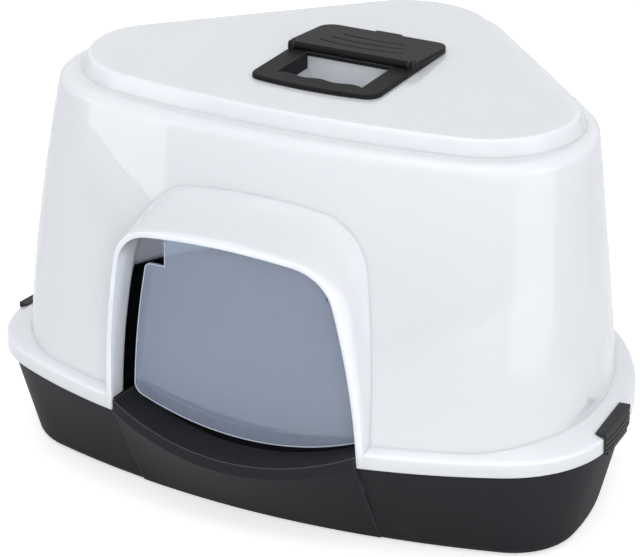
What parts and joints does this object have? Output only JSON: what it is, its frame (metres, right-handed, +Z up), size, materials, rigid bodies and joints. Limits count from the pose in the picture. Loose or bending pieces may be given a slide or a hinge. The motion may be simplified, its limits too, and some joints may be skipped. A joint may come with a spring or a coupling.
{
  "type": "corner litter box",
  "caption": "Hooded cat litter box for a room corner: open tray with a scooped entry sill, domed hood with a swinging door flap, carry handle with a hinged vented filter lid, and side clips.",
  "frame": {"origin": "centre of the bounding box on the floor plane, under the tray", "axes": "+Z up, +X across the box to the right as seen from behind the door, the door faces -Y and the rear corner +Y"},
  "size_m": [0.602, 0.5368, 0.3828],
  "materials": {
    "tray_plastic": "satin, moulded",
    "hood_plastic": "smooth, softly glossy",
    "flap_plastic": "frosted, translucent",
    "handle_plastic": "satin, moulded",
    "filter_foam": "open foam, matt",
    "clip_plastic": "satin, moulded"
  },
  "bodies": {
    "box": {"base_tray": "tray_plastic", "hood": "hood_plastic", "handle_frame": "handle_plastic", "filter_pad": "filter_foam"},
    "flap": {"door_flap": "flap_plastic"},
    "lid": {"filter_lid": "handle_plastic"},
    "right_clip": {"clip_right": "clip_plastic"},
    "left_clip": {"clip_left": "clip_plastic"}
  },
  "joints": [
    {"name": "flap_swing", "type": "hinge", "parent": "box", "child": "flap", "pos_m": [0, -0.21656, 0.274], "axis": [1, 0, 0], "range_deg": [-65, 65]},
    {"name": "lid_lift", "type": "hinge", "parent": "box", "child": "lid", "pos_m": [0, -0.01786, 0.3796], "axis": [1, 0, 0], "range_deg": [0, 100]},
    {"name": "right_clip_release", "type": "hinge", "parent": "box", "child": "right_clip", "pos_m": [0.29582, -0.08266, 0.0905], "axis": [-0.0879, 0.9961, 0], "range_deg": [0, 75]},
    {"name": "left_clip_release", "type": "hinge", "parent": "box", "child": "left_clip", "pos_m": [-0.29582, -0.08266, 0.0905], "axis": [-0.0879, -0.9961, 0], "range_deg": [0, 75]}
  ]
}
